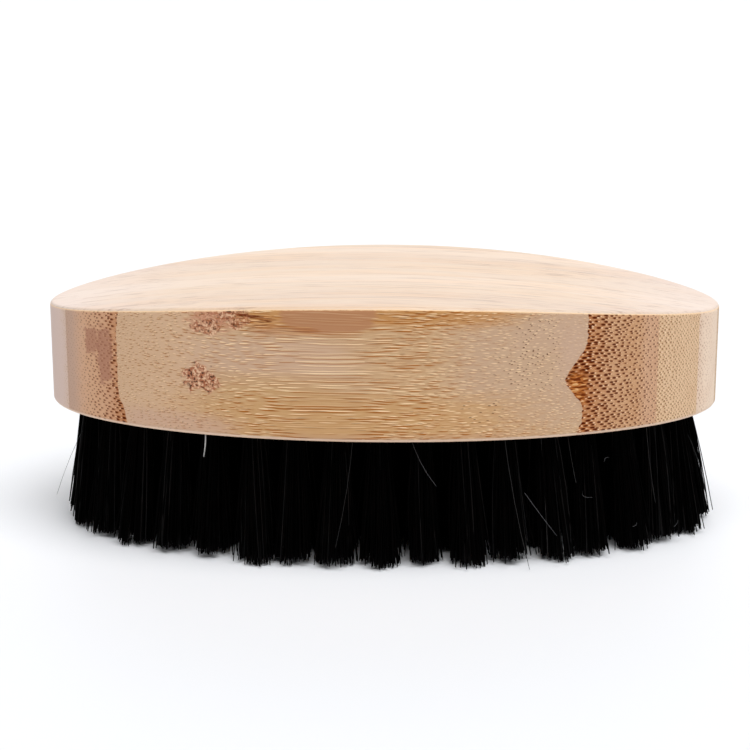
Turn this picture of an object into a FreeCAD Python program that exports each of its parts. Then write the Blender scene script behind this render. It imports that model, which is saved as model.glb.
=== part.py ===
import FreeCAD, Part
import math
import os

import Sketcher
from FreeCAD import Placement, Rotation, Vector

# Palm-held beard brush: an oval bamboo block, laminated from strips glued side by side, with black bristle
# tufts folded over flat wire anchors that are driven into drilled holes in the underside.
#
# Frame, in millimetres: the brush stands on its bristle tips on Z = 0, +Z is up, +X runs along the block,
# and the origin is on the resting plane under the middle of the block. The bamboo's fibres and glue lines are
# level and run almost along X: the block was sawn from the laminated board a few degrees off square.

SIZES = [
    ("block_length", 115.6, "oval block, end to end"),
    ("block_width", 63.0, "oval block, front to back"),
    ("block_height", 22.0, "block at its middle, where the arched top is highest"),
    ("arch_rise", 4.7, "how much lower the top is at the two ends"),
    ("top_round", 0.7, "rounding of the upper rim"),
    ("bottom_round", 0.8, "rounding of the lower rim"),
    ("strip_width", 7.35, "thickness of one bamboo strip, across the glue lines"),
    ("fibre_angle", 4.0, "fibres and glue lines, clockwise from the block's long axis, in degrees"),
    ("front_glue_line", 23.6, "foremost glue line, in front of the middle of the block"),
    ("bristle_length", 21.5, "bristle that stands out of the block"),
    ("hole_diameter", 3.2, "drilled tuft hole"),
    ("hole_depth", 9.0, "full-diameter depth of a tuft hole"),
    ("drill_point", 118.0, "included angle of the hole's conical end, in degrees"),
    ("tuft_tip_diameter", 4.8, "spread of one tuft at its tips"),
    ("straight_run", 0.5, "bristle below the hole's mouth before the tuft starts to spread"),
    ("edge_margin", 6.2, "outermost hole centres, in from the block's rim"),
    ("ring_step", 6.2, "distance from one oval of holes to the next"),
    ("splay_angle", 6.5, "outward lean of the outermost tufts, in degrees"),
    ("trim_allowance", 1.5, "extra bristle that is trimmed off level at the resting plane"),
    ("anchor_length", 4.0, "flat wire anchor, across the hole and into its wall at both ends"),
    ("anchor_height", 1.8, "width of the flat wire, along the hole"),
    ("anchor_thickness", 0.4, "thickness of the flat wire"),
    ("anchor_cover", 0.8, "folded bristle between the anchor and the hole's end"),
    ("anchor_turn", 45.0, "angle from the fibres to the anchors, so that no strip splits, in degrees"),
    ("middle_line", 39.0, "length of the straight middle line of holes, between its end centres"),
]

TUFTS_PER_OVAL = (36, 32, 26, 18)  # from the outermost oval of holes inwards, each an even number
MIDDLE_TUFTS = 7  # the straight line of holes inside the innermost oval
STRIPS = 9  # the block is as wide as this many, with the outermost two part sawn away
SPARE = 5.0  # how far the arch cut reaches past the block, at its ends and above it
OVAL_STEPS = 4000  # straight steps that stand in for half an oval when its length is measured
OUTPUT_FOLDER = "parts"


# ---------------------------------------------------------------- document, sheet and sketch helpers


def make_sheet(doc):
    """The driving dimensions: name, value and what it is, one to a row."""
    sheet = doc.addObject("Spreadsheet::Sheet", "sizes")
    for row, (alias, value, note) in enumerate(SIZES, start=1):
        sheet.set(f"A{row}", alias)
        sheet.set(f"B{row}", str(value))
        sheet.set(f"C{row}", note)
        sheet.setAlias(f"B{row}", alias)
    doc.recompute()
    return sheet


def new_body(doc, name):
    body = doc.addObject("PartDesign::Body", name)
    body.Label = name
    return body


def new_sketch(body, name, role):
    """An empty sketch on one of the body's own origin planes."""
    plane = next(f for f in body.Origin.OriginFeatures if f.Role == role)
    sketch = body.newObject("Sketcher::SketchObject", name)
    sketch.AttachmentSupport = (plane, [""])
    sketch.MapMode = "FlatFace"
    return sketch


def bind(sketch, constraint, name, expression):
    """Adds a dimension to the sketch and drives it from the sheet."""
    index = sketch.addConstraint(constraint)
    sketch.renameConstraint(index, name)
    sketch.setExpression(f"Constraints.{name}", expression)


def polygon_sketch(body, name, role, corners, values):
    """A closed polygon, each corner placed from the sketch's origin. corners holds (x, y) pairs of
    expressions, None for a coordinate that is zero, and values the same corners as numbers to start from."""
    sketch = new_sketch(body, name, role)
    count = len(corners)
    for i in range(count):
        start = Vector(*values[i], 0)
        end = Vector(*values[(i + 1) % count], 0)
        sketch.addGeometry(Part.LineSegment(start, end), False)
    for i in range(count):
        sketch.addConstraint(Sketcher.Constraint("Coincident", i, 2, (i + 1) % count, 1))
    for i, (x, y) in enumerate(corners):
        if x is None:
            sketch.addConstraint(Sketcher.Constraint("PointOnObject", i, 1, -2))
        else:
            bind(sketch, Sketcher.Constraint("DistanceX", -1, 1, i, 1, values[i][0]), f"x{i}", x)
        if y is None:
            sketch.addConstraint(Sketcher.Constraint("PointOnObject", i, 1, -1))
        else:
            bind(sketch, Sketcher.Constraint("DistanceY", -1, 1, i, 1, values[i][1]), f"y{i}", y)
    return sketch


def revolve_about_vertical(doc, body, sketch):
    turn = body.newObject("PartDesign::Revolution", body.Name + "_turn")
    turn.Profile = sketch
    turn.ReferenceAxis = (sketch, ["V_Axis"])
    turn.Angle = 360.0
    doc.recompute()
    return turn


# ---------------------------------------------------------------- the block before it is drilled


def make_block_blank(doc, s):
    """Oval block with a top that arches along its length and stays level across it, both rims rounded."""
    body = new_body(doc, "block_blank")

    outline = new_sketch(body, "oval_outline", "XY_Plane")
    outline.AttachmentOffset = Placement(Vector(0, 0, s.bristle_length), Rotation())
    outline.setExpression(".AttachmentOffset.Base.z", "sizes.bristle_length")
    centre, end, side = Vector(), Vector(s.block_length / 2, 0, 0), Vector(0, s.block_width / 2, 0)
    oval = outline.addGeometry(Part.Ellipse(end, side, centre), False)
    outline.exposeInternalGeometry(oval)
    long_axis, short_axis = oval + 1, oval + 2
    outline.addConstraint(Sketcher.Constraint("Coincident", oval, 3, -1, 1))
    outline.addConstraint(Sketcher.Constraint("Horizontal", long_axis))
    bind(outline, Sketcher.Constraint("Distance", long_axis, s.block_length), "length", "sizes.block_length")
    bind(outline, Sketcher.Constraint("Distance", short_axis, s.block_width), "width", "sizes.block_width")
    pad = body.newObject("PartDesign::Pad", "oval_pad")
    pad.Profile = outline
    pad.setExpression("Length", "sizes.block_height")
    doc.recompute()

    cut = body.newObject("PartDesign::Pocket", "arch_cut")
    cut.Profile = arch_sketch(body, s)
    cut.Midplane = True
    cut.setExpression("Length", "sizes.block_width * 2")
    doc.recompute()

    level = s.bristle_length
    for name, size, base in (("top_rim", "top_round", cut), ("bottom_rim", "bottom_round", None)):
        base = base or body.Tip
        rim = body.newObject("PartDesign::Fillet", name)
        rim.Base = (base, rim_edges(base.Shape, level, name == "top_rim"))
        rim.setExpression("Radius", f"sizes.{size}")
        doc.recompute()
    return body


def arch_sketch(body, s):
    """What is cut away above the arched top: a rectangle whose lower side is the arch."""
    reach = s.block_length / 2 + SPARE
    crown = s.bristle_length + s.block_height
    radius = ((s.block_length / 2) ** 2 + s.arch_rise**2) / (2 * s.arch_rise)
    drop = radius - math.sqrt(radius**2 - reach**2)
    roof = crown + SPARE
    sketch = new_sketch(body, "arch_profile", "XZ_Plane")
    centre = Vector(0, crown - radius, 0)
    half_turn = math.asin(reach / radius)
    arch = sketch.addGeometry(
        Part.ArcOfCircle(
            Part.Circle(centre, Vector(0, 0, 1), radius),
            math.pi / 2 - half_turn,
            math.pi / 2 + half_turn,
        ),
        False,
    )
    left_low, right_low = Vector(-reach, crown - drop, 0), Vector(reach, crown - drop, 0)
    left_high, right_high = Vector(-reach, roof, 0), Vector(reach, roof, 0)
    left = sketch.addGeometry(Part.LineSegment(left_low, left_high), False)
    top = sketch.addGeometry(Part.LineSegment(left_high, right_high), False)
    right = sketch.addGeometry(Part.LineSegment(right_high, right_low), False)
    sides = (arch, left, top, right)
    for i, side in enumerate(sides):
        sketch.addConstraint(Sketcher.Constraint("Coincident", side, 2, sides[(i + 1) % 4], 1))
    sketch.addConstraint(Sketcher.Constraint("Vertical", left))
    sketch.addConstraint(Sketcher.Constraint("Vertical", right))
    sketch.addConstraint(Sketcher.Constraint("PointOnObject", arch, 3, -2))
    half = "(sizes.block_length / 2)"
    curve = f"(({half} * {half} + sizes.arch_rise * sizes.arch_rise) / (2 * sizes.arch_rise))"
    bind(sketch, Sketcher.Constraint("Radius", arch, radius), "arch_radius", curve)
    bind(
        sketch,
        Sketcher.Constraint("DistanceY", arch, 3, -1, 1, radius - crown),
        "arch_centre",
        f"{curve} - sizes.bristle_length - sizes.block_height",
    )
    bind(
        sketch,
        Sketcher.Constraint("DistanceX", top, 1, top, 2, 2 * reach),
        "reach",
        f"sizes.block_length + {2 * SPARE}",
    )
    bind(
        sketch,
        Sketcher.Constraint("DistanceY", -1, 1, top, 1, roof),
        "roof",
        f"sizes.bristle_length + sizes.block_height + {SPARE}",
    )
    sketch.addConstraint(Sketcher.Constraint("Symmetric", top, 1, top, 2, -2))
    return sketch


def rim_edges(shape, bottom_level, upper):
    """Names of the edges that run all the way round the block's upper or lower rim."""
    names = []
    for number, edge in enumerate(shape.Edges, start=1):
        box = edge.BoundBox
        flat_on_bottom = box.ZMax < bottom_level + 0.01
        clear_of_bottom = box.ZMin > bottom_level + 1.0
        runs_along = box.XLength > 1.0 or box.YLength > 1.0
        if runs_along and (clear_of_bottom if upper else flat_on_bottom):
            names.append(f"Edge{number}")
    return names


# ---------------------------------------------------------------- one hole, one tuft and one anchor
#
# Each is made about its own vertical axis with the hole's mouth at Z = 0: the hole runs up from there, and
# the tuft hangs down.


def make_drill(doc, s):
    body = new_body(doc, "drill")
    radius = s.hole_diameter / 2
    point = radius / math.tan(math.radians(s.drill_point / 2))
    wall = "sizes.hole_diameter / 2"
    tip = "sizes.hole_depth + sizes.hole_diameter / 2 / tan(sizes.drill_point * 0.5 * 1deg)"
    below = "-sizes.trim_allowance"
    corners = [(None, below), (wall, below), (wall, "sizes.hole_depth"), (None, tip)]
    low, high = -s.trim_allowance, s.hole_depth
    values = [(0, low), (radius, low), (radius, high), (0, high + point)]
    sketch = polygon_sketch(body, "drill_profile", "XZ_Plane", corners, values)
    revolve_about_vertical(doc, body, sketch)
    return body


def make_anchor(doc, s):
    """A straight piece of flat wire, set on edge across the hole."""
    anchor = doc.addObject("Part::Box", "anchor")
    anchor.setExpression("Length", "sizes.anchor_length")
    anchor.setExpression("Width", "sizes.anchor_thickness")
    anchor.setExpression("Height", "sizes.anchor_height")
    turn = Rotation(Vector(0, 0, 1), s.anchor_turn - s.fibre_angle)
    corner = Vector(-s.anchor_length / 2, -s.anchor_thickness / 2, 0)
    lift = Vector(0, 0, s.hole_depth - s.anchor_cover - s.anchor_height)
    anchor.Placement = Placement(turn.multVec(corner) + lift, turn)
    return anchor


def make_tuft(doc, s, anchor):
    """A folded bundle of bristle: it fills the hole, wraps the anchor, and spreads towards its tips."""
    body = new_body(doc, "bundle")
    root, tip = s.hole_diameter / 2, s.tuft_tip_diameter / 2
    low = -s.bristle_length - s.trim_allowance
    end = "-sizes.bristle_length - sizes.trim_allowance"
    corners = [
        (None, end),
        ("sizes.tuft_tip_diameter / 2", end),
        ("sizes.hole_diameter / 2", "-sizes.straight_run"),
        ("sizes.hole_diameter / 2", "sizes.hole_depth"),
        (None, "sizes.hole_depth"),
    ]
    values = [(0, low), (tip, low), (root, -s.straight_run), (root, s.hole_depth), (0, s.hole_depth)]
    sketch = polygon_sketch(body, "bundle_profile", "XZ_Plane", corners, values)
    revolve_about_vertical(doc, body, sketch)
    tuft = doc.addObject("Part::Cut", "tuft")
    tuft.Base = body
    tuft.Tool = anchor
    doc.recompute()
    return tuft


# ---------------------------------------------------------------- where the holes are


def along_half_oval(half_length, half_width, gaps):
    """Points that divide the +Y half of an ellipse into equal lengths, from its -X end to its +X end."""
    turn = [math.pi * i / OVAL_STEPS for i in range(OVAL_STEPS + 1)]
    points = [(-half_length * math.cos(t), half_width * math.sin(t)) for t in turn]
    along = [0.0]
    for one, two in zip(points, points[1:]):
        along.append(along[-1] + math.dist(one, two))
    found, piece = [], 0
    for i in range(gaps + 1):
        wanted = along[-1] * i / gaps
        while piece < OVAL_STEPS - 1 and along[piece + 1] < wanted:
            piece += 1
        share = (wanted - along[piece]) / (along[piece + 1] - along[piece])
        (x0, y0), (x1, y1) = points[piece], points[piece + 1]
        found.append((x0 + (x1 - x0) * share, y0 + (y1 - y0) * share))
    return found


def tuft_rows(s):
    """Nine rows of (x, y), front to back. Rows 1 to 4 are the front halves of the ovals of holes, from the
    rim inwards, rows 9 to 6 are their back halves, and row 5 is the middle line with the ovals' end holes."""
    ovals = len(TUFTS_PER_OVAL)
    middle = [(s.middle_line * (i / (MIDDLE_TUFTS - 1) - 0.5), 0.0) for i in range(MIDDLE_TUFTS)]
    rows = {ovals + 1: middle}
    for oval, count in enumerate(TUFTS_PER_OVAL):
        inset = s.edge_margin + oval * s.ring_step
        half_length, half_width = s.block_length / 2 - inset, s.block_width / 2 - inset
        between_ends = along_half_oval(half_length, half_width, count // 2)[1:-1]
        rows[oval + 1] = [(x, -y) for x, y in between_ends]
        rows[2 * ovals + 1 - oval] = between_ends
        middle += [(-half_length, 0.0), (half_length, 0.0)]
    return {number: sorted(rows[number]) for number in sorted(rows)}


def hole_placement(s, x, y):
    """Carries a tuft from its own axis to its hole: it leans outwards, more the nearer it is to the rim."""
    reach = s.block_length / 2 - s.edge_margin
    depth = s.block_width / 2 - s.edge_margin
    out = Vector(x / reach**2, y / depth**2, 0)
    share = math.hypot(x / reach, y / depth)
    if out.Length < 1e-9:
        return Placement(Vector(x, y, s.bristle_length), Rotation())
    out.normalize()
    lean = math.radians(s.splay_angle * share)
    down = out * math.sin(lean) - Vector(0, 0, math.cos(lean))
    return Placement(Vector(x, y, s.bristle_length), Rotation(Vector(0, 0, -1), down))


def placed(shape, placement):
    copy = shape.copy()
    copy.Placement = placement.multiply(copy.Placement)
    return copy


# ---------------------------------------------------------------- the finished sub-parts


def solid_feature(doc, name, shape):
    feature = doc.addObject("Part::Feature", name)
    feature.Label = name
    feature.Shape = shape
    feature.Placement = Placement()
    return feature


def make_rows(doc, s, rows, tuft, anchor):
    """One node of tufts and one of anchors for each row. The tufts are trimmed level at the resting plane."""
    above = Part.makeBox(
        2 * s.block_length,
        2 * s.block_length,
        s.bristle_length + s.block_height,
        Vector(-s.block_length, -s.block_length, 0),
    )
    made = []
    for number, places in rows.items():
        spots = [hole_placement(s, x, y) for x, y in places]
        trimmed = [placed(tuft.Shape, spot).common(above).Solids[0] for spot in spots]
        made.append(solid_feature(doc, f"tuft_row_{number}", Part.makeCompound(trimmed)))
        anchors = [placed(anchor.Shape, spot) for spot in spots]
        made.append(solid_feature(doc, f"anchor_row_{number}", Part.makeCompound(anchors)))
    return made


def make_strips(doc, s, rows, blank, drill, anchor):
    """The block, sawn along its glue lines, each strip with its share of the tuft holes and anchor slots."""
    cutters = []
    for places in rows.values():
        for x, y in places:
            spot = hole_placement(s, x, y)
            cutters.append(placed(drill.Shape, spot))
            cutters.append(placed(anchor.Shape, spot))
    made = []
    for number in range(1, STRIPS + 1):
        sawn = doc.addObject("Part::Common", f"sawn_strip_{number}")
        sawn.Base = blank
        sawn.Tool = make_slab(doc, s, number)
        doc.recompute()
        near = [c for c in cutters if c.BoundBox.intersect(sawn.Shape.BoundBox)]
        tools = solid_feature(doc, f"cutters_{number}", Part.makeCompound(near))
        strip = doc.addObject("Part::Cut", f"bamboo_strip_{number}")
        strip.Label = f"bamboo_strip_{number}"
        strip.Base = sawn
        strip.Tool = tools
        doc.recompute()
        made.append(strip)
    return made


def make_slab(doc, s, number):
    """The space one strip was sawn from. The first and the last slab reach out past the block's sides."""
    slab = doc.addObject("Part::Box", f"slab_{number}")
    slab.setExpression("Length", "sizes.block_length * 2")
    slab.setExpression("Width", "sizes.strip_width" + (" * 3" if number in (1, STRIPS) else ""))
    slab.setExpression("Height", "sizes.block_height * 2")
    doc.recompute()
    back = s.strip_width * (number - 1) - s.front_glue_line
    front = back - slab.Width.Value if number == 1 else back - s.strip_width
    turn = Rotation(Vector(0, 0, 1), -s.fibre_angle)
    slab.Placement = Placement(turn.multVec(Vector(-s.block_length, front, s.bristle_length - 1)), turn)
    return slab


def check(doc, parts):
    """Stops if any object failed to compute, or any sub-part isn't whole solids."""
    failed = [o.Name for o in doc.Objects if "Invalid" in o.State or "Error" in o.State]
    if failed:
        raise RuntimeError(f"these objects failed: {failed}")
    for part in parts:
        shape = part.Shape
        if shape.isNull() or not shape.isValid() or not shape.Solids:
            raise RuntimeError(f"{part.Label} is not a valid solid")


def main():
    doc = FreeCAD.newDocument("beard_brush")
    s = make_sheet(doc)
    blank = make_block_blank(doc, s)
    drill = make_drill(doc, s)
    anchor = make_anchor(doc, s)
    tuft = make_tuft(doc, s, anchor)
    rows = tuft_rows(s)
    parts = make_strips(doc, s, rows, blank, drill, anchor)
    parts += make_rows(doc, s, rows, tuft, anchor)
    doc.recompute()
    check(doc, parts)
    os.makedirs(OUTPUT_FOLDER, exist_ok=True)
    for part in parts:
        part.Shape.exportStep(os.path.join(OUTPUT_FOLDER, part.Label + ".step"))
        print(part.Label, len(part.Shape.Solids), "solids,", round(part.Shape.Volume, 1), "mm3")


main()
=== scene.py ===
"""The looks of the oval beard brush: laminated bamboo, loose black bristle and a bright product setting.

Everything is in metres, in the row's frame: the brush stands on its bristle tips on Z = 0, +Z is up and +X
runs along the block. Materials are laid out in millimetres along the bamboo's own fibres.
"""

import math
import random

import bmesh
import bpy
import numpy as np
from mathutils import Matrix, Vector


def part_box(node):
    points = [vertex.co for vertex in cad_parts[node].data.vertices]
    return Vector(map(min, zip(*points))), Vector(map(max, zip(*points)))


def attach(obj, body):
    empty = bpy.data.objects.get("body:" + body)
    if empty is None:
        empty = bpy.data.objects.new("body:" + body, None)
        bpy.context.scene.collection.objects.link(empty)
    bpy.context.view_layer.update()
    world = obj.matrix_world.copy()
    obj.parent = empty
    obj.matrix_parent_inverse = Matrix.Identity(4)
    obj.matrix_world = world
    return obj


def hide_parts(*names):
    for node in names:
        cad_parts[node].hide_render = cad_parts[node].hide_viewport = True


MM = 0.001
SEED = 11

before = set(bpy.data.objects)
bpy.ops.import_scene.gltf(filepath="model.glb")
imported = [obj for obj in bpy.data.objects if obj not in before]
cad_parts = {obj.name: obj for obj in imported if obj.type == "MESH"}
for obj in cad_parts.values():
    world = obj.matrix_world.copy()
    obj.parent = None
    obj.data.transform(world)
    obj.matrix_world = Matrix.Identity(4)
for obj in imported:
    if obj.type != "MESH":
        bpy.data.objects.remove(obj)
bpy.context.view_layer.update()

# The board that the block was sawn from. Its fibres and glue lines are turned a little from the block's long
# axis. Widths and places are in mm.
FIBRE_ANGLE = math.radians(4.0)
STRIP_WIDTH = 7.35
STRIPS = 9
FRONT_GLUE_LINE = -23.6

# The specular level of the matt sides and of the sanded top.
SIDE_SHEEN = 0.04
TOP_SHEEN = 0.5


# ---------------------------------------------------------------- shader nodes


# The Mix node has sockets of the same name for every type of value, so those for colours go by number.
MIX_A, MIX_B, MIX_RESULT = 6, 7, 2

# How far one step of a noise's seed moves its pattern, and the range that most of its values are in.
SEED_STEP = (7.31, 3.17, 5.73)
NOISE_RANGE = (0.3, 0.7)


class Graph:
    """A node tree, with short names for the nodes that are used again and again."""

    def __init__(self, tree):
        self.tree = tree
        self.tree.nodes.clear()

    def node(self, kind, inputs=(), **settings):
        """A new node. inputs: for each socket, by name or number, a value or the output that feeds it."""
        made = self.tree.nodes.new("ShaderNode" + kind)
        for name, value in settings.items():
            setattr(made, name, value)
        for socket, value in dict(inputs).items():
            self.feed(made.inputs[socket], value)
        return made

    def feed(self, socket, value):
        if isinstance(value, bpy.types.NodeSocket):
            self.tree.links.new(value, socket)
        else:
            socket.default_value = value

    def math(self, operation, *values):
        return self.node("Math", enumerate(values), operation=operation).outputs[0]

    def add(self, a, b):
        return self.math("ADD", a, b)

    def less(self, a, b):
        return self.math("SUBTRACT", a, b)

    def times(self, a, b):
        return self.math("MULTIPLY", a, b)

    def over(self, a, b):
        return self.math("DIVIDE", a, b)

    def vector_math(self, operation, *values, output="Vector"):
        return self.node("VectorMath", enumerate(values), operation=operation).outputs[output]

    def length(self, vector):
        return self.vector_math("LENGTH", vector, output="Value")

    def dot(self, a, b):
        return self.vector_math("DOT_PRODUCT", a, b, output="Value")

    def split(self, vector):
        return self.node("SeparateXYZ", {"Vector": vector}).outputs

    def joined(self, x, y, z):
        return self.node("CombineXYZ", {"X": x, "Y": y, "Z": z}).outputs[0]

    def remap(self, value, low, high, to_low, to_high, **settings):
        """to_low below low, to_high above high, and in between in proportion."""
        inputs = {"Value": value, "From Min": low, "From Max": high, "To Min": to_low, "To Max": to_high}
        return self.node("MapRange", inputs, **settings).outputs["Result"]

    def between(self, share, at_zero, at_one):
        """at_zero where the share is 0, at_one where it is 1, and in between in proportion."""
        return self.remap(share, 0.0, 1.0, at_zero, at_one)

    def rise(self, value, low, high):
        """0 below low and 1 above high, with a smooth step between; it falls if low is above high."""
        ends = (0.0, 1.0) if low < high else (1.0, 0.0)
        return self.remap(value, min(low, high), max(low, high), *ends, interpolation_type="SMOOTHSTEP")

    def band(self, value, rising, falling):
        """1 between two steps and 0 outside them."""
        return self.times(self.rise(value, *rising), self.rise(value, *falling))

    def noise(self, place, waves, seed=0.0, detail=2.0, roughness=0.5, output="Fac"):
        """Values about 0.5. waves: how many to a millimetre, along, across and up."""
        scaled = self.vector_math("MULTIPLY", place, waves)
        moved = self.vector_math("ADD", scaled, [seed * step for step in SEED_STEP])
        inputs = {"Vector": moved, "Scale": 1.0, "Detail": detail, "Roughness": roughness}
        return self.node("TexNoise", inputs).outputs[output]

    def mix(self, factor, a, b):
        inputs = {"Factor": factor, MIX_A: a, MIX_B: b}
        return self.node("Mix", inputs, data_type="RGBA", clamp_factor=True).outputs[MIX_RESULT]

    def tinted(self, colour, value, tint, start, full, cover=1.0):
        """A colour with a tint over it. start, full: the values where the tint starts and where it is full.
        cover: how much of the colour the full tint hides."""
        return self.mix(self.times(self.rise(value, start, full), cover), colour, tint)

    def millimetres(self):
        """The place on the object, in millimetres."""
        place = self.node("TexCoord").outputs["Object"]
        return self.vector_math("MULTIPLY", place, (1 / MM, 1 / MM, 1 / MM))

    def principled(self, inputs):
        shader = self.node("BsdfPrincipled", inputs)
        self.node("OutputMaterial", {"Surface": shader.outputs["BSDF"]})


def new_material(name):
    material = bpy.data.materials.new(name)
    material.use_nodes = True
    return material, Graph(material.node_tree)


def srgb(red, green, blue):
    """A colour given as it shows on screen, 0 to 255, turned into the linear values that shaders take."""
    def linear(value):
        share = value / 255
        return share / 12.92 if share <= 0.04045 else ((share + 0.055) / 1.055) ** 2.4

    return (linear(red), linear(green), linear(blue), 1.0)


# ---------------------------------------------------------------- bamboo


# The looks of a strip's sides:
#   ground, deep    the soft tissue and its darker grain
#   rind            the tissue at the strip's front, where the culm's skin was
#   gold, cream     the two sides of a fibre bundle's sheath
#   core            the bundle's dark middle
#   pitch           from one bundle to the next across the strip, and from one row up to the next, in mm
#   disorder        how far the bundles stray from even rows, 0 to 1
#   even            how alike the bundles are, 0 to 1
#   missing         the share of bundles with no dark middle
#   inner           how large the bundles are at the strip's back, if they are 1 at its front
#   ..._oval        an oval of a bundle: how far across and up its middle is, half its width and half its
#                   height, in mm, then how strongly it shows at the strip's front and at its back
# A bundle's depth is 0 at the strip's front and 1 at its back, and grows most quickly at the front.
LAYERS = ("gold", "cream", "core")
SKIN_SHARPNESS = 0.6
LOOKS = {
    "streaky": dict(
        ground=srgb(206, 172, 137), deep=srgb(186, 147, 107), rind=srgb(204, 167, 128),
        gold=srgb(166, 100, 40), cream=srgb(246, 216, 174), core=srgb(76, 34, 10),
        pitch=(0.34, 0.40), disorder=0.95, even=0.25, missing=0.45, inner=0.85,
        gold_oval=(0.02, -0.09, 0.15, 0.12, 0.9, 0.75),
        cream_oval=(0.045, 0.08, 0.135, 0.09, 0.8, 0.7),
        core_oval=(-0.05, 0.0, 0.045, 0.07, 0.25, 0.25),
    ),
    "dotted": dict(
        ground=srgb(203, 158, 119), deep=srgb(188, 138, 98), rind=srgb(190, 128, 80),
        gold=srgb(160, 84, 34), cream=srgb(250, 212, 172), core=srgb(80, 20, 0),
        pitch=(0.58, 0.49), disorder=0.55, even=0.6, missing=0.0, inner=0.55,
        gold_oval=(-0.02, 0.0, 0.35, 0.29, 1.0, 0.1),
        cream_oval=(0.20, -0.03, 0.11, 0.11, 0.9, 0.9),
        core_oval=(-0.05, 0.0, 0.19, 0.185, 1.0, 0.8),
    ),
    "fine": dict(
        ground=srgb(221, 187, 152), deep=srgb(211, 173, 137), rind=srgb(217, 181, 145),
        gold=srgb(190, 148, 104), cream=srgb(240, 212, 178), core=srgb(134, 88, 52),
        pitch=(0.56, 0.42), disorder=0.45, even=0.5, missing=0.0, inner=0.8,
        gold_oval=(0.0, 0.0, 0.19, 0.17, 0.6, 0.4),
        cream_oval=(0.18, 0.0, 0.12, 0.12, 1.0, 1.0),
        core_oval=(-0.05, 0.0, 0.11, 0.11, 0.9, 0.65),
    ),
    "rosy": dict(
        ground=srgb(242, 218, 195), deep=srgb(232, 202, 177), rind=srgb(228, 202, 179),
        gold=srgb(206, 168, 140), cream=srgb(250, 232, 212), core=srgb(170, 124, 98),
        pitch=(0.85, 0.46), disorder=0.6, even=0.4, missing=0.1, inner=0.6,
        gold_oval=(0.0, 0.0, 0.24, 0.18, 0.5, 0.0),
        cream_oval=(0.20, 0.0, 0.12, 0.10, 0.6, 0.2),
        core_oval=(-0.05, 0.0, 0.14, 0.13, 0.75, 0.15),
    ),
}
STRIP_LOOKS = ("streaky", "dotted", "fine", "rosy", "fine", "streaky", "dotted", "rosy", "streaky")

# How bundles vary by chance: the girth of the thinnest and of the thickest, if 1 is usual; how much closer
# to usual both are in an even look; the random numbers at which the gold or the cream starts to show and is
# full; and how gradually cores go missing.
THINNEST, THICKEST = 0.7, 1.35
EVEN_GIRTH = 0.2
SHEATH_CHANCE = (0.15, 0.85)
MISSING_EDGE = 0.06

# How gradual the edge of an oval is, as a share of its size.
OVAL_SOFTNESS = dict(gold=0.6, cream=0.5, core=0.35)

# The rows of bundles: how far one is moved across from the one below it, as a share of the pitch, and how
# many rows a strip's pattern is moved from the pattern of the strip in front of it.
ROW_SHIFT = 0.5
ROWS_TO_NEXT_STRIP = 17.3

# The culm's taper: how thick its bundles are at one end of the board, if they are 1 at the other, and the
# two ends, in mm along the fibres.
TAPER = dict(thinnest=0.68, thin_end=-48.0, full_end=10.0)

# How the fibres wander across and up, slowly and quickly: waves to a millimetre, and the reach in mm.
SWAY_WAVES, SWAY_REACH = (1 / 30, 1 / 10, 1 / 8), (0.0, 0.9, 1.9)
SHAKE_WAVES, SHAKE_REACH = (1 / 5, 1 / 2, 1 / 2), (0.0, 0.2, 0.2)

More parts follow.
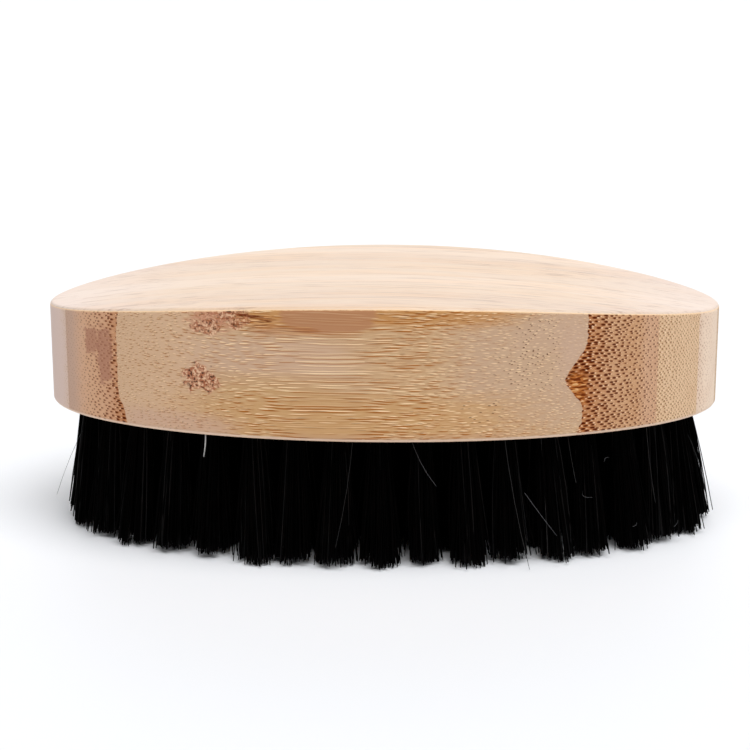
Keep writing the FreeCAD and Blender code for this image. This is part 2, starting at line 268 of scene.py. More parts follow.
# Marks on the strips, as squarish ellipsoids in fibre millimetres: along, across, up.
#   middle, size    where it is, and half its length, width and height
#   soft            how gradual its edge is
#   ragged, grain   how broken its edge is, and the waves to a millimetre of the breaks
#   colour, cover   its colour, and how much of the tissue under it is hidden
#   gains           what it does to the gold, the cream and the core of the bundles in it
BLOTCHY = (0.35, 1.1, 1.5)
STRANDED = (0.16, 0.8, 2.4)
ZONES = {
    1: (
        dict(middle=(-36, -27, 32), size=(10, 6, 14), soft=0.35, ragged=0.4, grain=BLOTCHY,
             colour=srgb(216, 179, 146), cover=0.8, gains=(0.9, 0.9, 1.6)),
        dict(middle=(-15, -31, 34.0), size=(13, 5, 4.5), soft=0.4, ragged=0.6, grain=STRANDED,
             colour=srgb(205, 171, 147), cover=0.7, gains=(0.7, 1.2, 0.2)),
        dict(middle=(27, -27, 33), size=(13, 8, 10), soft=0.35, ragged=0.5, grain=BLOTCHY,
             colour=srgb(196, 163, 136), cover=0.8, gains=(0.3, 0.8, 0.8)),
        dict(middle=(27.4, -26, 38.6), size=(3.4, 4, 2.8), soft=0.3, ragged=1.4, grain=BLOTCHY,
             colour=srgb(200, 168, 144), cover=0.3, gains=(0.3, 1.0, 4.0)),
        dict(middle=(26.0, -26, 33.0), size=(5.4, 4, 3.2), soft=0.3, ragged=1.4, grain=BLOTCHY,
             colour=srgb(200, 168, 138), cover=0.3, gains=(0.5, 1.2, 4.0)),
        dict(middle=(18.6, -29, 26.4), size=(3.0, 4, 1.8), soft=0.3, ragged=1.4, grain=BLOTCHY,
             colour=srgb(200, 162, 120), cover=0.3, gains=(0.8, 1.2, 4.0)),
        dict(middle=(-2, -31, 23.5), size=(27, 6, 5.5), soft=0.4, ragged=0.7, grain=STRANDED,
             colour=srgb(202, 156, 104), cover=0.7, gains=(1.2, 1.2, 1.0)),
        dict(middle=(10, -31, 43.2), size=(14, 6, 3.0), soft=0.4, ragged=0.9, grain=STRANDED,
             colour=srgb(193, 134, 70), cover=0.7, gains=(1.6, 1.1, 1.4)),
        dict(middle=(-14.6, -31, 42.8), size=(4.2, 5, 2.6), soft=0.4, ragged=0.9, grain=STRANDED,
             colour=srgb(194, 134, 66), cover=0.65, gains=(1.4, 1.1, 0.9)),
        dict(middle=(-14, -31, 30.4), size=(10, 5, 1.8), soft=0.6, ragged=0.9, grain=STRANDED,
             colour=srgb(197, 154, 98), cover=0.5, gains=(1.0, 1.3, 0.5)),
        dict(middle=(-32, -28, 22.0), size=(11, 6, 3.0), soft=0.4, ragged=0.6, grain=BLOTCHY,
             colour=srgb(207, 170, 147), cover=0.7, gains=(0.6, 0.4, 1.2)),
        dict(middle=(8, -31, 21.2), size=(24, 6, 1.7), soft=0.3, ragged=0.6, grain=STRANDED,
             colour=srgb(196, 154, 120), cover=0.6, gains=(1.3, 0.6, 1.2)),
        dict(middle=(-5.65, -31.5, 44.2), size=(7.6, 4, 5.0), soft=0.08, ragged=0.5, grain=STRANDED,
             colour=srgb(183, 131, 94), cover=0.95, gains=(0.35, 0.25, 0.15)),
        dict(middle=(-24.6, -30, 42.2), size=(3.2, 3, 2.6), soft=0.7, ragged=2.2, grain=BLOTCHY,
             colour=srgb(198, 134, 106), cover=0.8, gains=(0.8, 0.8, 2.4)),
        dict(middle=(33, -24.3, 36.0), size=(2.4, 1.4, 6.0), soft=0.9, ragged=1.0, grain=BLOTCHY,
             colour=srgb(202, 170, 150), cover=0.5, gains=(0.4, 0.5, 0.3)),
    ),
    2: (
        dict(middle=(-52.5, -16.5, 30), size=(8, 3.4, 18), soft=0.5, ragged=0.9, grain=BLOTCHY,
             colour=srgb(204, 170, 150), cover=0.9, gains=(0.1, 0.2, 0.3)),
        dict(middle=(-44.5, -21, 31), size=(6, 3, 18), soft=0.4, ragged=0.4, grain=BLOTCHY,
             colour=srgb(224, 178, 144), cover=0.7, gains=(0.8, 0.9, 0.75)),
        dict(middle=(-46.0, -21.0, 35.0), size=(4, 0.9, 2.4), soft=0.2, ragged=1.5, grain=BLOTCHY,
             colour=srgb(178, 126, 102), cover=0.8, gains=(0.3, 0.3, 0.4)),
        dict(middle=(-43.6, -22.6, 32.8), size=(4, 0.8, 4.6), soft=0.2, ragged=1.5, grain=BLOTCHY,
             colour=srgb(176, 124, 101), cover=0.8, gains=(0.3, 0.3, 0.4)),
        dict(middle=(46, -16.8, 31), size=(4, 1.4, 16), soft=0.5, ragged=0.5, grain=BLOTCHY,
             colour=srgb(210, 170, 144), cover=0.45, gains=(0.6, 1.2, 0.9)),
    ),
    3: (
        dict(middle=(-55, -12, 31), size=(7, 5, 18), soft=0.5, ragged=0.6, grain=BLOTCHY,
             colour=srgb(230, 204, 192), cover=0.95, gains=(0.1, 0.2, 0.1)),
    ),
}

# Where a branch broke up the fibres: the tissue is a crumb of dark, rosy and pale specks. cover: how much
# of the tissue the crumb hides.
KNOT_EDGE = dict(soft=0.12, ragged=1.9, grain=(0.6, 0.8, 0.8))
KNOT_ROSY = srgb(198, 144, 112)
KNOT_BROWN = srgb(166, 96, 66)
KNOT_DARK = srgb(66, 16, 4)
KNOT_PALE = srgb(232, 194, 160)
KNOTS = {
    1: (
        dict(middle=(-26.9, -29.4, 31.0), size=(3.0, 3, 2.2), cover=0.9),
        dict(middle=(-24.6, -30.2, 42.0), size=(3.6, 3, 1.9), cover=0.35),
        dict(middle=(-20.6, -30.7, 41.4), size=(2.6, 3, 1.8), cover=0.8),
        dict(middle=(-25.4, -30.0, 39.5), size=(2.7, 3, 1.1), cover=0.75),
    ),
    9: (
        dict(middle=(18.0, 30.0, 33.0), size=(2.6, 2.5, 1.8), cover=0.9),
    ),
}

# Places where the fibres turn out of their line and show as short streaks.
#   strands         waves to a millimetre of the streaks
#   golden, dark    how much of the tissue the golden and the dark strands hide
#   threshold       the higher it is, the more strands are dark
SWIRL_EDGE = dict(soft=0.3, ragged=0.9, grain=BLOTCHY)
SWIRL_BROWN = srgb(186, 110, 50)
SWIRL_GOLD = srgb(226, 174, 116)
SWIRL_DARK = srgb(98, 32, 4)
SWIRLS = {
    1: (
        dict(middle=(-12.6, -31.4, 39.5), size=(4.8, 3, 0.8), strands=(0.12, 0.6, 8.0),
             golden=0.35, dark=0.5, threshold=0.47),
        dict(middle=(-17.4, -31.0, 41.0), size=(3.0, 3, 1.2), strands=(0.4, 0.6, 6.0),
             golden=0.3, dark=0.85, threshold=0.47),
    ),
    2: (
        dict(middle=(33.9, -24.1, 29.4), size=(1.5, 0.9, 2.6), strands=(0.5, 0.6, 2.6),
             golden=0.9, dark=0.9, threshold=0.53),
    ),
}

# The seam between the first two strips bends towards the front, by distances in mm. On the right it swells
# round a node, between a bottom and a top. A bend is none at its first height and full at its second one:
# height, height, distance. SEAM_MIDDLE is where the left's bends turn into the right's, along the fibres.
SWELLING_BOTTOM, SWELLING_MIDDLE, SWELLING_TOP = 26.0, 30.8, 36.6
SWELLING_REACH = 1.15
SEAM_RIGHT_BENDS = ((24.5, 21.5, 0.3), (33.0, 38.0, -0.3))
SEAM_LEFT_REACH = 0.38
SEAM_LEFT_BENDS = ((28.5, 21.5, 0.8), (37.0, 43.0, 0.35))
SEAM_MIDDLE = (-10.0, 10.0)
SEAM_TREMBLE = 0.3
SEAM_SOFTNESS = 0.03

# The top's colours, paler and quieter than the sides: partly the sanded finish and partly painted sheen, the
# veil of light that the arched top reflects.
TOP_TONE = srgb(219, 197, 177)
TOP_WARM = srgb(221, 194, 168)
TOP_END = srgb(223, 207, 200)
TOP_STREAK = srgb(168, 138, 122)
TOP_COVER = 0.85

# By how much a face looks up: where the paler top starts and where it is full, and where the pale rims
# fade in and out. The paler top is partly its sanded finish and partly painted sheen; the pale rims are
# painted highlights.
ON_TOP = (0.3, 0.6)
# The rims' colours are painted highlights along the rounded top and bottom edges.
UPPER_RIM_HIGHLIGHT = srgb(246, 214, 172)
LOWER_RIM_HIGHLIGHT = srgb(244, 216, 192)
UPPER_RIM_FACING = ((0.25, 0.4), (0.65, 0.45))
LOWER_RIM_FACING = ((-0.15, -0.45), (-0.98, -0.8))
RIM_HIGHLIGHT_COVER = 0.8

# The relief of the surface: how high the grain stands in it, and how deep the cores sink at the sides and
# on the sanded top, as shares of its depth.
RELIEF_DEPTH = 0.02 * MM
RELIEF_STRENGTH = 0.3
GRAIN_HEIGHT = 0.35
SIDE_SINK, TOP_SINK = 1.0, 0.25

# The roughness of the bamboo and of the steel, from the lows to the highs of their grain.
BAMBOO_ROUGHNESS = (0.4, 0.5)
STEEL_ROUGHNESS = (0.28, 0.42)


def fibre_place(g):
    """Position in millimetres: along the fibres, across the glue lines, and up."""
    inputs = {"Vector": g.millimetres(), "Angle": FIBRE_ANGLE}
    return g.node("VectorRotate", inputs, rotation_type="Z_AXIS").outputs[0]


def wave(g, place, waves, reach, seed):
    """How far the fibres are off their line, in mm."""
    noise = g.noise(place, waves, seed=seed, output="Color")
    return g.vector_math("MULTIPLY", g.vector_math("SUBTRACT", noise, (0.5, 0.5, 0.5)), reach)


def wandering(g, place):
    """The same position with the fibres' own waviness."""
    sway = wave(g, place, SWAY_WAVES, SWAY_REACH, seed=0.0)
    shake = wave(g, place, SHAKE_WAVES, SHAKE_REACH, seed=1.0)
    return g.vector_math("ADD", place, g.vector_math("ADD", sway, shake))


def ellipsoid(g, place, mark, edge, squarish=True):
    """1 inside an ellipsoid with the mark's middle and size, and 0 outside, with the given kind of edge."""
    share = g.vector_math("DIVIDE", g.vector_math("SUBTRACT", place, mark["middle"]), mark["size"])
    if squarish:
        distance = g.math("SQRT", g.length(g.vector_math("MULTIPLY", share, share)))
    else:
        distance = g.length(share)
    rough = g.noise(place, edge["grain"], seed=mark["middle"][0], detail=3.0)
    distance = g.add(distance, g.times(g.less(rough, 0.5), edge["ragged"]))
    return g.rise(distance, 1 + edge["soft"], 1 - edge["soft"])


def nearest_bundle(g, place, look, number):
    """How far across and up the nearest bundle's middle is, in mm, and three random numbers of its own."""
    wide, tall = look["pitch"]
    across, up = g.split(place)[1:3]
    row = g.add(g.times(up, 1 / tall), ROWS_TO_NEXT_STRIP * number)
    lattice = g.joined(g.add(g.times(across, 1 / wide), g.times(row, ROW_SHIFT)), row, 0.0)
    inputs = {"Vector": lattice, "Scale": 1.0, "Randomness": look["disorder"]}
    cells = g.node("TexVoronoi", inputs, voronoi_dimensions="2D", feature="F1")
    steps = g.split(g.vector_math("SUBTRACT", lattice, cells.outputs["Position"]))
    sideways = g.times(g.less(steps[0], g.times(steps[1], ROW_SHIFT)), wide)
    upward = g.times(steps[1], tall)
    return sideways, upward, g.split(cells.outputs["Color"])


def bundle_girth(g, place, look, depth, chance):
    """How thick a bundle is, if 1 is usual for its look: by chance, its depth and the culm's taper."""
    evening = EVEN_GIRTH * look["even"]
    girth = g.between(chance, THINNEST + evening, THICKEST - evening)
    girth = g.times(girth, g.between(depth, 1.0, look["inner"]))
    along = g.split(place)[0]
    return g.times(girth, g.remap(along, TAPER["thin_end"], TAPER["full_end"], TAPER["thinnest"], 1.0))


def bundle_layers(g, place, look, depth, number):
    """How strongly the gold, the cream and the core of the nearest fibre bundle show, each 0 to 1."""
    sideways, upward, own = nearest_bundle(g, place, look, number)
    girth = bundle_girth(g, place, look, depth, own[0])
    shown = dict(
        gold=g.between(g.rise(own[1], *SHEATH_CHANCE), look["even"], 1.0),
        cream=g.between(g.rise(own[2], *SHEATH_CHANCE), look["even"], 1.0),
        core=g.rise(own[0], look["missing"] - MISSING_EDGE, look["missing"] + MISSING_EDGE),
    )
    strengths = []
    for layer in LAYERS:
        across, up, half_width, half_height, at_front, at_back = look[layer + "_oval"]
        soft = OVAL_SOFTNESS[layer]
        x = g.over(g.less(sideways, g.times(girth, across)), g.times(girth, half_width))
        y = g.over(g.less(upward, g.times(girth, up)), g.times(girth, half_height))
        mask = g.rise(g.length(g.joined(x, y, 0.0)), 1 + soft, 1 - soft)
        strengths.append(g.times(g.times(mask, shown[layer]), g.between(depth, at_front, at_back)))
    return strengths


def tissue(g, place, look, depth, number):
    """The softer tissue between the bundles, with its clouds and fine grain."""
    clouds = g.noise(place, (1 / 20, 1 / 3.0, 1 / 4.0), seed=number + 1, detail=3.0, roughness=0.55)
    grain = g.noise(place, (1 / 6, 1 / 0.2, 1 / 0.3), seed=number + 2, roughness=0.6)
    colour = g.tinted(look["ground"], depth, look["rind"], start=0.55, full=0.1)
    colour = g.tinted(colour, clouds, look["deep"], start=0.42, full=0.66, cover=0.4)
    colour = g.tinted(colour, grain, look["deep"], start=0.5, full=0.7, cover=0.6)
    return g.tinted(colour, grain, look["cream"], start=0.46, full=0.28, cover=0.3)


def zoned(g, place, number, colour):
    """The strip's own marks over its tissue, and what they do to the three layers of its bundles."""
    gains = [1.0] * len(LAYERS)
    for zone in ZONES.get(number, ()):
        mask = ellipsoid(g, place, zone, edge=zone)
        colour = g.mix(g.times(mask, zone["cover"]), colour, zone["colour"])
        gains = [g.times(gain, g.between(mask, 1.0, change)) for gain, change in zip(gains, zone["gains"])]
    return colour, gains


def knotted(g, place, colour, knot):
    """A knot's crumb over the colour of the tissue."""
    mask = ellipsoid(g, place, knot, edge=KNOT_EDGE, squarish=False)
    crumbs = g.noise(place, (1.9, 1.2, 2.0), seed=knot["middle"][2], detail=1.0, roughness=0.7)
    tints = g.noise(place, (1.4, 1.0, 1.5), seed=knot["middle"][0], detail=1.0)
    speck = g.tinted(KNOT_ROSY, tints, KNOT_BROWN, start=0.4, full=0.6)
    speck = g.tinted(speck, crumbs, KNOT_DARK, start=0.44, full=0.36)
    speck = g.tinted(speck, crumbs, KNOT_PALE, start=0.55, full=0.63, cover=0.9)
    return g.mix(g.times(mask, knot["cover"]), colour, speck)


def swirled(g, place, colour, swirl):
    """A swirl's strands over the colour of the tissue."""
    mask = ellipsoid(g, place, swirl, edge=SWIRL_EDGE)
    strands = g.noise(place, swirl["strands"], seed=swirl["middle"][2], detail=1.0)
    threshold = swirl["threshold"]
    dark = g.rise(strands, threshold, threshold - 0.08)
    golden = g.tinted(SWIRL_BROWN, strands, SWIRL_GOLD, start=threshold + 0.06, full=threshold + 0.14)
    colour = g.mix(g.times(mask, swirl["golden"]), colour, golden)
    return g.mix(g.times(g.times(mask, dark), swirl["dark"]), colour, SWIRL_DARK)


def strip_colour(g, place, number):
    """Colour of one strip's side, and how much of it is dark core, from 0 to 1."""
    look = LOOKS[STRIP_LOOKS[number - 1]]
    front = FRONT_GLUE_LINE + STRIP_WIDTH * (number - 2)
    share = g.remap(g.split(place)[1], front, front + STRIP_WIDTH, 0.0, 1.0)
    depth = g.math("POWER", share, SKIN_SHARPNESS)
    wavy = wandering(g, place)

    colour, gains = zoned(g, place, number, tissue(g, wavy, look, depth, number))
    layers = bundle_layers(g, wavy, look, depth, number)
    for name, layer, gain in zip(LAYERS, layers, gains):
        strength = g.times(layer, gain)
        colour = g.mix(strength, colour, look[name])
    for knot in KNOTS.get(number, ()):
        colour = knotted(g, place, colour, knot)
    for swirl in SWIRLS.get(number, ()):
        colour = swirled(g, place, colour, swirl)
    return colour, strength


def with_bends(g, up, reach, bends):
    """How far the seam reaches towards the front once its bends are added, in mm."""
    for none_at, full_at, distance in bends:
        reach = g.add(reach, g.times(g.rise(up, none_at, full_at), distance))
    return reach


def wavy_glue_line(g, place):
    """0 on the first strip's side and 1 on the second's: the seam between them swells and wanders."""
    along, across, up = g.split(place)
    swelling = g.band(up, (SWELLING_BOTTOM, SWELLING_MIDDLE), (SWELLING_TOP, SWELLING_MIDDLE))
    right = with_bends(g, up, g.times(swelling, SWELLING_REACH), SEAM_RIGHT_BENDS)
    left = with_bends(g, up, SEAM_LEFT_REACH, SEAM_LEFT_BENDS)
    reach = g.between(g.rise(along, *SEAM_MIDDLE), left, right)
    tremble = g.times(g.less(g.noise(place, (0.3, 0.3, 1.1), seed=5.0), 0.5), SEAM_TREMBLE)
    edge = g.less(g.add(tremble, FRONT_GLUE_LINE), reach)
    return g.rise(g.less(across, edge), -SEAM_SOFTNESS, SEAM_SOFTNESS)


def upward_share(g):
    """How much the face looks up, from the object's own normal: 1 straight up, -1 straight down."""
    return g.split(g.node("TexCoord").outputs["Normal"])[2]


def sanded_top_with_painted_sheen(g, place, number):
    """The top's colour: paler and quieter than the sides, with faint streaks. The paleness is partly the
    sanded finish and partly painted sheen.
    """
    wavy = wandering(g, place)
    tints = g.noise(wavy, (1 / 40, 1 / 4.0, 1 / 4.0), seed=number + 6)
    streaks = g.noise(wavy, (1 / 26, 1 / 0.65, 1 / 0.65), seed=number + 4, detail=4.0, roughness=0.6)
    top = g.tinted(TOP_TONE, tints, TOP_WARM, start=0.4, full=0.6)
    distance = g.math("ABSOLUTE", g.split(place)[0])
    top = g.tinted(top, distance, TOP_END, start=26.0, full=58.0, cover=0.7)
    return g.tinted(top, streaks, TOP_STREAK, start=0.52, full=0.70, cover=0.7)


def finished_faces(g, place, number, colour, on_top):
    """The sides' colour with the paler top's colour on the top, which is partly the sanded finish and partly
    painted sheen, and with painted highlights on both rims.
    """
    # The paler top colour over the sides, on faces that look up: partly its sanded finish, partly painted
    # sheen.
    colour = g.mix(g.times(on_top, TOP_COVER), colour, sanded_top_with_painted_sheen(g, place, number))
    facing = upward_share(g)
    # Painted highlights: pale bands on the rounded upper and lower rims, picked by how much the face looks
    # up.
    upper_rim_highlight = g.band(facing, *UPPER_RIM_FACING)
    lower_rim_highlight = g.band(facing, *LOWER_RIM_FACING)
    colour = g.mix(g.times(upper_rim_highlight, RIM_HIGHLIGHT_COVER), colour, UPPER_RIM_HIGHLIGHT)
    return g.mix(g.times(lower_rim_highlight, RIM_HIGHLIGHT_COVER), colour, LOWER_RIM_HIGHLIGHT)


def sides_colour(g, place, number):
    """The colour and core of a strip. The first two show both their looks, because their seam is wavy."""
    if number > 2:
        return strip_colour(g, place, number)
    behind = wavy_glue_line(g, place)
    front_colour, front_core = strip_colour(g, place, 1)
    back_colour, back_core = strip_colour(g, place, 2)
    return g.mix(behind, front_colour, back_colour), g.between(behind, front_core, back_core)


def bamboo(number):
    """The material of one strip."""
    material, g = new_material(f"bamboo_{number}")
    place = fibre_place(g)
    colour, core = sides_colour(g, place, number)
    # on_top picks the faces that look up; the paler top colour there is partly painted sheen.
    on_top = g.rise(upward_share(g), *ON_TOP)
    grain = g.noise(place, (1 / 4, 1 / 0.16, 1 / 0.2), seed=9.0)
    sink = g.times(core, g.between(on_top, SIDE_SINK, TOP_SINK))
    height = g.less(g.times(grain, GRAIN_HEIGHT), sink)
    bump = g.node("Bump", {"Strength": RELIEF_STRENGTH, "Distance": RELIEF_DEPTH, "Height": height})
    g.principled(
        {
            "Base Color": finished_faces(g, place, number, colour, on_top),
            "Roughness": g.remap(grain, *NOISE_RANGE, *BAMBOO_ROUGHNESS),
            "Specular IOR Level": g.between(on_top, SIDE_SHEEN, TOP_SHEEN),
            "Normal": bump.outputs[0],
        }
    )
    return material


# ---------------------------------------------------------------- bristle and anchors


# The hairs' materials, the most common first: name, colour, colour of the cut tips, roughness, specular
# level, and the share of the hairs. The tips' colour starts at TIP_COLOUR_TOP, in mm above the shelf.
BRISTLE_KINDS = (
    ("bristle_black", (0.0004, 0.0004, 0.0004, 1), (0.0016, 0.0010, 0.0009, 1), 0.5, 0.02, 0.90),
    ("bristle_satin", (0.0012, 0.0012, 0.0013, 1), (0.0060, 0.0040, 0.0034, 1), 0.4, 0.16, 0.095),
    ("bristle_shiny", (0.0100, 0.0100, 0.0105, 1), (0.0200, 0.0160, 0.0140, 1), 0.35, 0.5, 0.001),
    # The pale kind is no real bristle: it is painted light, used only by one stray below for a bright sliver
    # among the black hairs.
    ("bristle_painted_light", (0.5000, 0.4900, 0.4800, 1), (0.3000, 0.2900, 0.2800, 1), 0.4, 0.5, 0.0),
)
TIP_COLOUR_TOP = 3.0
LINT_DARK = (0.03, 0.03, 0.032, 1)
LINT_GREY = (0.16, 0.16, 0.17, 1)
STEEL_DARK = srgb(168, 168, 166)
STEEL_BRIGHT = srgb(206, 206, 204)


def bristle(name, colour, tip_colour, roughness, sheen):
    """One kind of hair: its colour varies from hair to hair, and turns towards tip_colour at the cut end."""
    material, g = new_material(name)
    place = g.millimetres()
    hairs = g.noise(place, (2.2, 2.2, 0.12))
    tip = g.times(g.rise(g.split(place)[2], TIP_COLOUR_TOP, 0.0), g.rise(hairs, 0.45, 0.65))
    varied = g.tinted(colour, hairs, tip_colour, start=0.35, full=0.7)
    g.principled(
        {
            "Base Color": g.mix(tip, varied, tip_colour),
            "Roughness": roughness,
            "Specular IOR Level": sheen,
        }
    )
    return material


def lint():
    material, g = new_material("lint")
    tone = g.mix(g.noise(g.millimetres(), (3, 3, 3)), LINT_DARK, LINT_GREY)
    g.principled({"Base Color": tone, "Roughness": 0.6, "Specular IOR Level": 0.3})
    return material


def anchor_steel():
    material, g = new_material("anchor_steel")
    drawn = g.noise(g.millimetres(), (2.0, 2.0, 14.0), detail=3.0)
    g.principled(
        {
            "Base Color": g.mix(drawn, STEEL_DARK, STEEL_BRIGHT),
            "Metallic": 1.0,
            "Roughness": g.remap(drawn, *NOISE_RANGE, *STEEL_ROUGHNESS),
        }
    )
    return material


# A hair is a tube of a few rings of corners, thinner at its tip. Its girth is between two shares of the
# radius.
HAIR_RADIUS = 0.125 * MM
HAIR_GIRTHS = (0.8, 1.15)
HAIR_TAPER = 0.15
HAIR_RINGS = 5
HAIR_SIDES = 3
HAIRS_PER_TUFT = 210

# A CAD tuft's corners: how close two are to be one, how high the ones at its tip can be, and how far below
# its highest point the ones at its top can be.
WELD = 0.001 * MM
TIP_BAND = 0.01 * MM
TOP_BAND = 0.5 * MM

# A tuft's hairs start a little inside the mouth of its hole and fill most of it. Each stands a golden angle
# on from the last, give or take a little.
ROOT_DEPTH = 1.0 * MM
HOLE_FILL = 1.5 * MM
GOLDEN_ANGLE = math.pi * (3 - math.sqrt(5))
TURN_SPREAD = 0.4

# The tips, in mm: the least and the most radius that they spread to; how far the tuft leans, as a mean and
# a spread; and the spread of a hair's bow, outwards and sideways.
TIP_SPREAD = (2.5, 3.6)
LEAN_ALONG, LEAN_ACROSS = (0.35, 0.6), (0.0, 0.4)
BOW_OUTWARDS, BOW_SIDEWAYS = 0.25, 0.2

# Hairs are drawn together into locks. Loose ones keep out of them and stray further, in mm.
LOCKS_PER_TUFT = 5
LOCK_PULL = (0.1, 0.45)
LOOSE_SHARE = 0.27
LOOSE_STRAY, LOCK_STRAY = 0.75, 0.14

# The cut: the height of the lowest tips; how much higher a lock can end, in mm; and how much shorter than
# its lock a hair is, in mm: the mean and the most.
LOWEST_TIP = 0.06 * MM
LOCK_TRIM = 0.8
SHORTER_MEAN, SHORTER_MOST = 0.6, 4.0

# The kinds of hair, in the order of BRISTLE_KINDS, and lint.
BLACK, SATIN, SHINY, PALE, LINT = range(5)

# Single hairs that have sprung out of their rows, a little lint, and one pale hair that is painted light,
# a bright sliver among the black hairs: row, kind, the two ends in mm, how far the middle bows, in mm, and
# how thick they are, if 1 is an ordinary hair.
STRAY_HAIRS = (
    (5, LINT, (-51.5, -4.0, 18.0), (-57.6, -4.0, 4.2), (-0.3, 0.0, 0.2), 0.3),
    (5, LINT, (52.0, -5.0, 18.0), (56.6, -5.0, 4.0), (0.6, 0.0, 0.2), 0.18),
    # This pale hair is painted light: a bright sliver where light shows between the black hairs.
    (1, PALE, (-28.0, -27.0, 21.6), (-28.2, -28.4, 18.2), (0.1, 0.0, 0.0), 1.0),
    (1, LINT, (5.0, -27.2, 22.0), (9.4, -31.2, 14.4), (-0.3, 0.0, -0.5), 0.3),
    (1, LINT, (23.6, -29.8, 13.0), (28.9, -30.4, 6.0), (0.0, 0.0, -0.1), 0.3),
    (1, SHINY, (-4.0, -27.4, 22.5), (-6.8, -31.4, 4.0), (0.4, 0.0, 0.0), 0.35),
    (1, SHINY, (20.2, -26.0, 22.5), (24.6, -30.6, 0.3), (-0.4, 0.0, 0.0), 0.4),
    (1, SHINY, (30.5, -24.0, 22.5), (32.0, -27.2, 14.0), (-0.1, 0.0, 0.0), 0.35),
    (1, SHINY, (44.0, -17.6, 22.5), (45.6, -21.4, 9.0), (-0.2, 0.0, 0.0), 0.35),
    (1, LINT, (33.0, -28.6, 13.0), (34.6, -28.6, 12.0), (-0.6, 0.0, -0.4), 0.3),
    (1, LINT, (36.4, -27.4, 17.6), (37.2, -27.4, 18.3), (-0.2, 0.0, 0.3), 0.3),
    (1, LINT, (41.6, -25.4, 6.1), (42.2, -25.4, 6.8), (0.2, 0.0, -0.1), 0.3),
    (2, LINT, (49.0, -20.0, 4.4), (49.6, -20.2, 5.6), (0.2, 0.0, 0.0), 0.3),
)


class Hairs:
    """The points, faces and material numbers of one row's hairs."""

    def __init__(self):
        self.points = []
        self.faces = []
        self.slots = []

    def add(self, start, end, bow, radius, turn, slot):
        """A tapering tube along a slightly bowed line, closed at its tip."""
        first = len(self.points)
        line = end - start
        side = line.orthogonal().normalized()
        other = line.normalized().cross(side)
        for ring in range(HAIR_RINGS):
            t = ring / (HAIR_RINGS - 1)
            centre = start + line * t + bow * (4 * t * (1 - t))
            thick = radius * (1.0 - HAIR_TAPER * t)
            for corner in range(HAIR_SIDES):
                angle = turn + 2 * math.pi * corner / HAIR_SIDES
                self.points.append(centre + (side * math.cos(angle) + other * math.sin(angle)) * thick)
        self.join_rings(first)
        self.slots += [slot] * (len(self.faces) - len(self.slots))

    def join_rings(self, first):
        """The faces of the tube that starts at a given point: bands between its rings, and a cap."""
        tip = first + (HAIR_RINGS - 1) * HAIR_SIDES
        for near in range(first, tip, HAIR_SIDES):
            far = near + HAIR_SIDES
            for corner in range(HAIR_SIDES):
                following = (corner + 1) % HAIR_SIDES
                self.faces.append((near + corner, near + following, far + following, far + corner))
        self.faces.append(tuple(tip + corner for corner in range(HAIR_SIDES)))

    def mesh(self, name, materials):
        mesh = bpy.data.meshes.new(name)
        mesh.from_pydata(self.points, [], self.faces)
        mesh.polygons.foreach_set("material_index", self.slots)
        mesh.polygons.foreach_set("use_smooth", [True] * len(self.faces))
        for material in materials:
            mesh.materials.append(material)
        return mesh


def islands(mesh):
    """The separate solids in a mesh: a set of vertices for each."""
    waiting = set(mesh.verts)
    while waiting:
        island = {waiting.pop()}
        edge = set(island)
        while edge:
            edge = {e.other_vert(v) for v in edge for e in v.link_edges} - island
            island |= edge
        waiting -= island
        yield island


def tufts_of(node):
    """The tufts in one CAD row, from its mesh: the middle of each one's tip and of its top."""
    mesh = bmesh.new()
    mesh.from_mesh(node.data)
    bmesh.ops.remove_doubles(mesh, verts=mesh.verts, dist=WELD)
    found = []
    for island in islands(mesh):
        points = np.array([v.co for v in island])
        heights = points[:, 2]
        low = points[heights < TIP_BAND].mean(axis=0)
        top = points[heights > heights.max() - TOP_BAND].mean(axis=0)
        found.append((Vector(low), Vector(top)))
    mesh.free()
    return sorted(found, key=lambda pair: (round(pair[0].x, 6), pair[0].y))


def add_tuft(hairs, rng, low, top, mouth, shares):
    """One tuft: hairs packed in the hole, which part into a few locks and fray a little at their tips."""
    axis = (low - top).normalized()
    root = top + axis * ((mouth + ROOT_DEPTH - top.z) / axis.z)
    side = axis.orthogonal().normalized()
    other = axis.cross(side)
    tip_radius = rng.uniform(*TIP_SPREAD) * MM
    lean = Vector((rng.gauss(*LEAN_ALONG), rng.gauss(*LEAN_ACROSS), 0)) * MM
    locks = [point_in_disc(rng, side, other, tip_radius) for _ in range(LOCKS_PER_TUFT)]
    trims = [rng.uniform(0.0, LOCK_TRIM) * MM for _ in locks]
    for index in range(HAIRS_PER_TUFT):
        share = math.sqrt((index + 0.5) / HAIRS_PER_TUFT)
        turn = index * GOLDEN_ANGLE + rng.uniform(-TURN_SPREAD, TURN_SPREAD)
        outward = side * math.cos(turn) + other * math.sin(turn)
        place, lock = tip_place(rng, side, other, outward * tip_radius * share, locks)
        start = root + outward * HOLE_FILL * share
        end = low + lean + place
        end.z = LOWEST_TIP + trims[lock] + min(rng.expovariate(1 / SHORTER_MEAN), SHORTER_MOST) * MM
        bow = outward * rng.gauss(0, BOW_OUTWARDS) * MM
        bow += side.cross(outward) * rng.gauss(0, BOW_SIDEWAYS) * MM
        radius = HAIR_RADIUS * rng.uniform(*HAIR_GIRTHS)
        hairs.add(start, end, bow, radius, turn, pick(rng, shares))


def tip_place(rng, side, other, place, locks):
    """A hair's tip, moved from its even place in the tuft, and the number of its nearest lock."""
    loose = rng.random() < LOOSE_SHARE
    lock = min(range(LOCKS_PER_TUFT), key=lambda number: (locks[number] - place).length)
    drawn = place.lerp(locks[lock], 0.0 if loose else rng.uniform(*LOCK_PULL))
    stray = (LOOSE_STRAY if loose else LOCK_STRAY) * MM
    return drawn + (side * rng.gauss(0, stray) + other * rng.gauss(0, stray)), lock


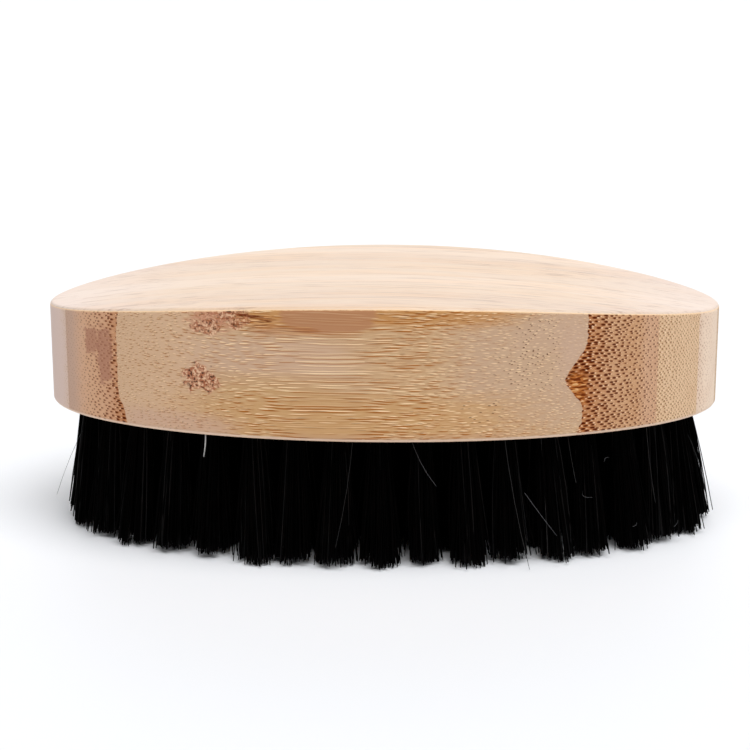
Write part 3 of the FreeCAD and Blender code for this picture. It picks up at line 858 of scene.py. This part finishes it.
def point_in_disc(rng, side, other, radius):
    angle = rng.uniform(0, 2 * math.pi)
    distance = radius * math.sqrt(rng.random())
    return side * math.cos(angle) * distance + other * math.sin(angle) * distance


def pick(rng, shares):
    """A number from 0 up, each with its share of the draws."""
    draw = rng.random()
    for number, share in enumerate(shares):
        draw -= share
        if draw < 0:
            return number
    return 0


def add_strays(hairs, row):
    for number, kind, start, end, bow, thickness in STRAY_HAIRS:
        if number == row:
            radius = thickness * HAIR_RADIUS
            hairs.add(Vector(start) * MM, Vector(end) * MM, Vector(bow) * MM, radius, 0.0, kind)


def build_row(number, materials):
    """The hairs that stand in for one CAD row of plain tufts. The mouths of all the holes are in the block's
    flat underside, so any strip gives their height."""
    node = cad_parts[f"tuft_row_{number}"]
    rng = random.Random(SEED * 100 + number)
    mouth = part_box("bamboo_strip_5")[0].z
    shares = [kind[-1] for kind in BRISTLE_KINDS]
    hairs = Hairs()
    for low, top in tufts_of(node):
        add_tuft(hairs, rng, low, top, mouth, shares)
    add_strays(hairs, number)
    name = f"bristle_row_{number}"
    row = bpy.data.objects.new(name, hairs.mesh(name, materials))
    bpy.context.scene.collection.objects.link(row)
    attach(row, "root")
    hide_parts(node.name)


# ---------------------------------------------------------------- setting


# The camera: angles in radians, places in metres, and the lens and the sensor in mm.
CAMERA_AZIMUTH = 0.0303
CAMERA_ELEVATION = 0.2385
CAMERA_DISTANCE = 0.32393
CAMERA_TARGET = Vector((0, 0, 0.022))
FOCAL_LENGTH = 88.55
SENSOR_WIDTH = 36.0
SHIFT = (-0.0112, 0.0248)

KEY_FROM = Vector((0.15, -0.30, 0.92))
KEY_STRENGTH = 3.35
KEY_SPREAD = math.radians(50)

# The bright panel in the sky: its middle, and the cosines of the angles from there at which its glow ends
# and is full.
GLOW_TOWARDS = (0.05, 0.96, 0.27)
GLOW_EDGE, GLOW_FULL = 0.72, 0.95
SKY_DARK, SKY_BRIGHT = 0.20, 1.25
SKY_WHITE = (1.0, 1.0, 1.0, 1.0)

FLOOR_REACH = 8.0
FLOOR_WHITE = (0.792, 0.808, 0.838, 1.0)


def make_camera():
    camera = bpy.data.cameras.new("camera")
    camera.sensor_width = SENSOR_WIDTH
    camera.lens = FOCAL_LENGTH
    camera.shift_x, camera.shift_y = SHIFT
    camera.clip_start = 0.01
    holder = bpy.data.objects.new("camera", camera)
    bpy.context.scene.collection.objects.link(holder)
    level = math.cos(CAMERA_ELEVATION)
    x = math.sin(CAMERA_AZIMUTH) * level
    y = -math.cos(CAMERA_AZIMUTH) * level
    back = Vector((x, y, math.sin(CAMERA_ELEVATION)))
    holder.location = CAMERA_TARGET + back * CAMERA_DISTANCE
    holder.rotation_euler = (-back).to_track_quat("-Z", "Y").to_euler()
    bpy.context.scene.camera = holder


def make_sky():
    """A dim, even sky with a bright panel low down behind the brush, which the arched top mirrors."""
    world = bpy.data.worlds.new("studio")
    world.use_nodes = True
    g = Graph(world.node_tree)
    nearness = g.dot(g.node("TexCoord").outputs["Generated"], GLOW_TOWARDS)
    strength = g.between(g.rise(nearness, GLOW_EDGE, GLOW_FULL), SKY_DARK, SKY_BRIGHT)
    sky = g.node("Background", {"Color": SKY_WHITE, "Strength": strength})
    g.node("OutputWorld", {"Surface": sky.outputs[0]})
    bpy.context.scene.world = world
    bpy.context.scene.view_settings.view_transform = "Standard"


def make_key_light():
    """One broad, soft light from above, the front and the right."""
    light = bpy.data.lights.new("key", "SUN")
    light.energy = KEY_STRENGTH
    light.angle = KEY_SPREAD
    holder = bpy.data.objects.new("key", light)
    bpy.context.scene.collection.objects.link(holder)
    holder.rotation_euler = KEY_FROM.to_track_quat("Z", "Y").to_euler()


def make_floor():
    corners = [(x * FLOOR_REACH, y * FLOOR_REACH, 0) for x, y in ((-1, -1), (1, -1), (1, 1), (-1, 1))]
    mesh = bpy.data.meshes.new("floor")
    mesh.from_pydata(corners, [], [(0, 1, 2, 3)])
    floor = bpy.data.objects.new("floor", mesh)
    bpy.context.scene.collection.objects.link(floor)
    material, g = new_material("floor_white")
    g.principled({"Base Color": FLOOR_WHITE, "Roughness": 0.6, "Specular IOR Level": 0.2})
    mesh.materials.append(material)


def give(node, material):
    """Makes a material the only one of a CAD node."""
    node.data.materials.clear()
    node.data.materials.append(material)


def main():
    make_camera()
    make_sky()
    make_key_light()
    make_floor()
    for number in range(1, STRIPS + 1):
        give(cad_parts[f"bamboo_strip_{number}"], bamboo(number))
    steel = anchor_steel()
    materials = [bristle(*kind[:-1]) for kind in BRISTLE_KINDS] + [lint()]
    for number in range(1, STRIPS + 1):
        give(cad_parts[f"anchor_row_{number}"], steel)
        build_row(number, materials)


main()
